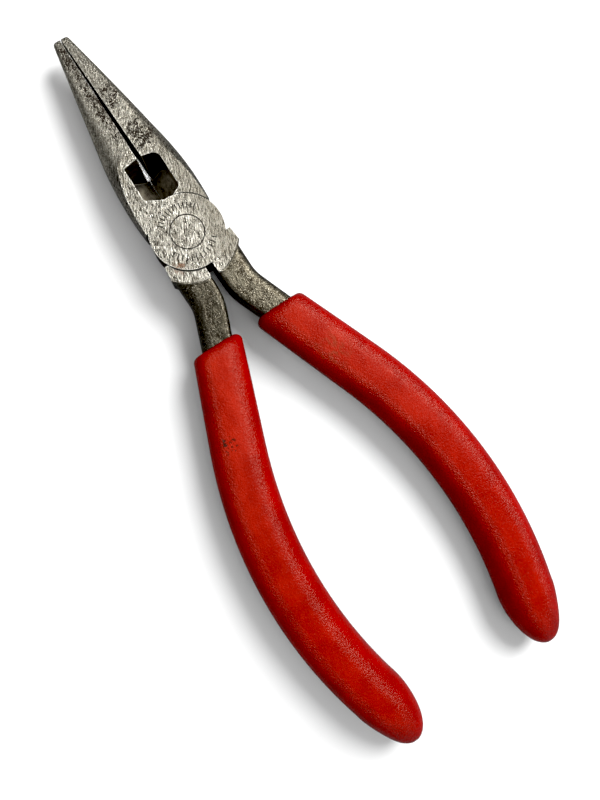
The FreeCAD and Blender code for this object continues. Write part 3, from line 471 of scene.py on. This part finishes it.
def paper():
    """Pale floor; only the camera sees it brighter far away, and with painted light inside the closed
    window.
    """
    s = Shader("paper")
    grain = s.noise((30.0, 30.0, 30.0), 2.0)
    seen = s.mix(s.ramp(grain, 0.3, 0.7), grey(FLOOR_SEEN), grey(FLOOR_SEEN * 1.02))
    near = s.spot((0.0, 0.0, 0.0), *FAR_FLOOR)
    seen = s.mix(near, grey(FLOOR_SEEN * FLOOR_FAR), seen)
    # Painted light on the floor seen through the closed cutter window, only where the tool covers it.
    cover = s.add("ShaderNodeAmbientOcclusion", samples=8)
    cover.inputs["Distance"].default_value = COVER_REACH * MM
    covered = s.ramp(cover.outputs["AO"], 0.45, 0.25)
    painted_floor_light = s.times(s.spot(*PAINTED_LIGHT_PATCH), covered)
    seen = s.mix(painted_floor_light, seen, grey(FLOOR_SEEN * FLOOR_PAINTED_LIGHT))
    colour = s.mix(s.light_path("Is Camera Ray"), grey(FLOOR_BOUNCE), seen)
    colour = s.mix(s.light_path("Is Glossy Ray"), colour, grey(FLOOR_MIRRORED))
    return s.diffuse(colour)


def floor():
    mesh = bpy.data.meshes.new("floor")
    side = FLOOR_HALF
    corners = [(-side, -side, 0), (side, -side, 0), (side, side, 0), (-side, side, 0)]
    mesh.from_pydata(corners, [], [(0, 1, 2, 3)])
    mesh.materials.append(paper())
    obj = bpy.data.objects.new("floor", mesh)
    bpy.context.scene.collection.objects.link(obj)
    obj.location.z = cad_low.z - FLOOR_CLEARANCE * MM


def area_light(name, position, target, size, power):
    data = bpy.data.lights.new(name, "AREA")
    data.shape = "DISK"
    data.size = size
    data.energy = power
    obj = bpy.data.objects.new(name, data)
    bpy.context.scene.collection.objects.link(obj)
    obj.location = position
    obj.rotation_euler = (Vector(target) - Vector(position)).to_track_quat("-Z", "Y").to_euler()


def studio_dome():
    """Soft light that is brightest high up, a little darker at the zenith; the camera sees white."""
    dome = bpy.data.worlds.new("studio")
    bpy.context.scene.world = dome
    dome.use_nodes = True
    tree = dome.node_tree
    coords = tree.nodes.new("ShaderNodeTexCoord")
    split = tree.nodes.new("ShaderNodeSeparateXYZ")
    ramp = tree.nodes.new("ShaderNodeValToRGB")
    tree.links.new(coords.outputs["Generated"], split.inputs[0])
    tree.links.new(split.outputs["Z"], ramp.inputs[0])
    elements = ramp.color_ramp.elements
    while len(elements) < len(DOME_STOPS):
        elements.new(0.5)
    for element, (place, level) in zip(elements, DOME_STOPS):
        element.position = place
        element.color = (*grey(level), 1)
    path = tree.nodes.new("ShaderNodeLightPath")
    seen = tree.nodes.new("ShaderNodeMix")
    seen.data_type = "RGBA"
    tree.links.new(path.outputs["Is Camera Ray"], seen.inputs["Factor"])
    tree.links.new(ramp.outputs["Color"], seen.inputs[6])
    seen.inputs[7].default_value = (1, 1, 1, 1)
    tree.links.new(seen.outputs[2], tree.nodes["Background"].inputs["Color"])
    tree.nodes["Background"].inputs["Strength"].default_value = 1.0


def camera():
    data = bpy.data.cameras.new("camera")
    data.lens = LENS
    data.sensor_width = SENSOR
    data.clip_start = CLIP_START
    obj = bpy.data.objects.new("camera", data)
    bpy.context.scene.collection.objects.link(obj)
    about_x, about_y, about_z = (math.radians(angle) for angle in CAMERA_TURN)
    turn = (Matrix.Rotation(about_x, 4, "X") @ Matrix.Rotation(about_y, 4, "Y")
            @ Matrix.Rotation(about_z, 4, "Z"))
    obj.matrix_world = Matrix.Translation(Vector(CAMERA_PLACE) * MM) @ turn
    bpy.context.scene.camera = obj


def tone_curve():
    """Plain sRGB with slightly deeper blacks."""
    view = bpy.context.scene.view_settings
    view.view_transform = "Standard"
    view.use_curve_mapping = True
    view.curve_mapping.black_level = grey(BLACK_LEVEL)
    view.curve_mapping.update()


# ------------------------------------------------------------------ the scene

piece_names = {steel: ("upper_half", "lower_half", "pivot_rivet"), vinyl: ("left_grip", "right_grip")}
for make_material, names in piece_names.items():
    material = make_material()
    for name in names:
        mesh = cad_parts[name].data
        mesh.materials.clear()
        mesh.materials.append(material)

floor()
for light in LIGHTS:
    area_light(*light)
studio_dome()
camera()
tone_curve()
